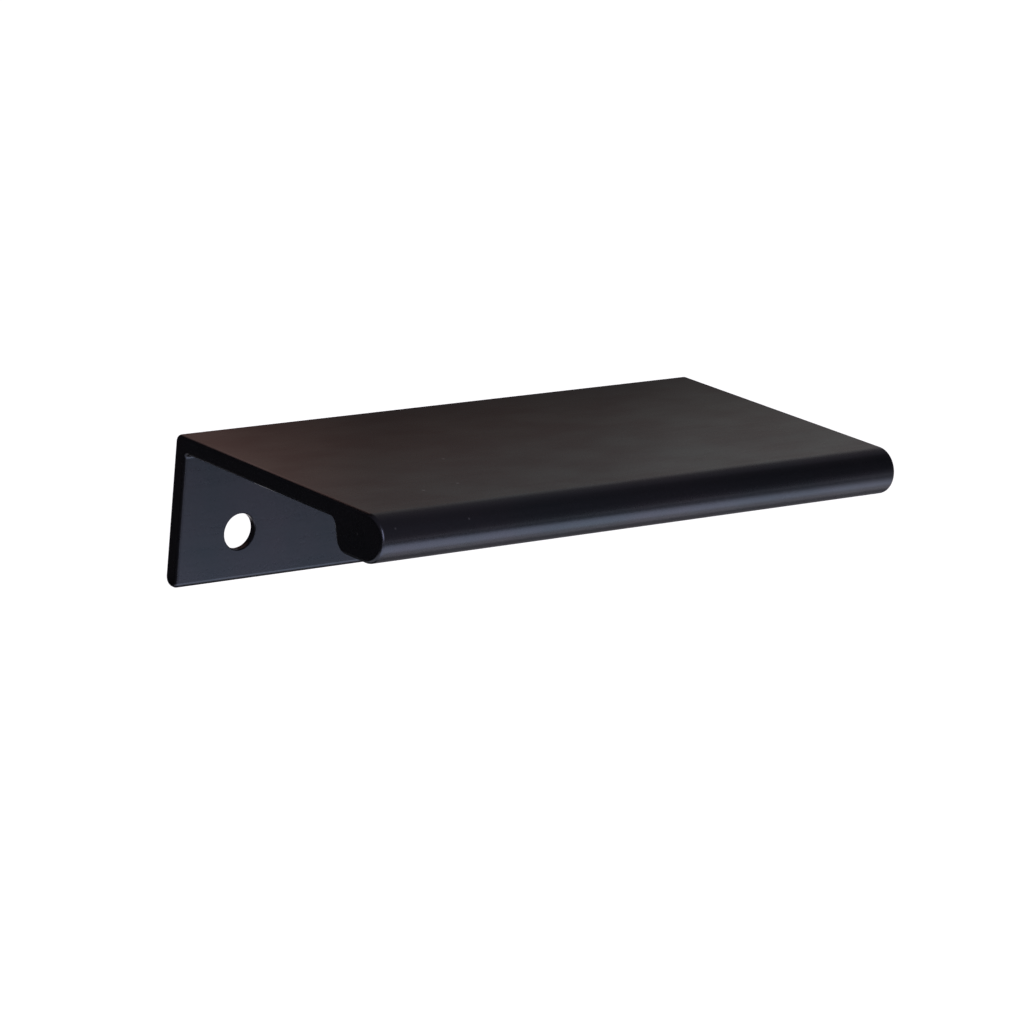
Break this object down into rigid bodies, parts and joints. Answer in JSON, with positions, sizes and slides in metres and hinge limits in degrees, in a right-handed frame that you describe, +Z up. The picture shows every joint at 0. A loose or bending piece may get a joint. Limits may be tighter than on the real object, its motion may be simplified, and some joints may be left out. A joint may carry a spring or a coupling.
{
  "type": "tab pull",
  "caption": "Edge pull of satin black aluminium: an L-shaped extruded section with a half-round lip and a screw plate with countersunk holes.",
  "frame": {"origin": "midway between the two screw holes, on the face of the plate that lies against the back of the door", "axes": "+X along the pull, -Y towards the lip and the front of the door, +Z up"},
  "size_m": [0.0826, 0.0408, 0.0191],
  "materials": {
    "satin_black_anodised": "satin black anodised over a fine matte etch"
  },
  "bodies": {
    "root": {"tab_pull": "satin_black_anodised"}
  },
  "joints": []
}
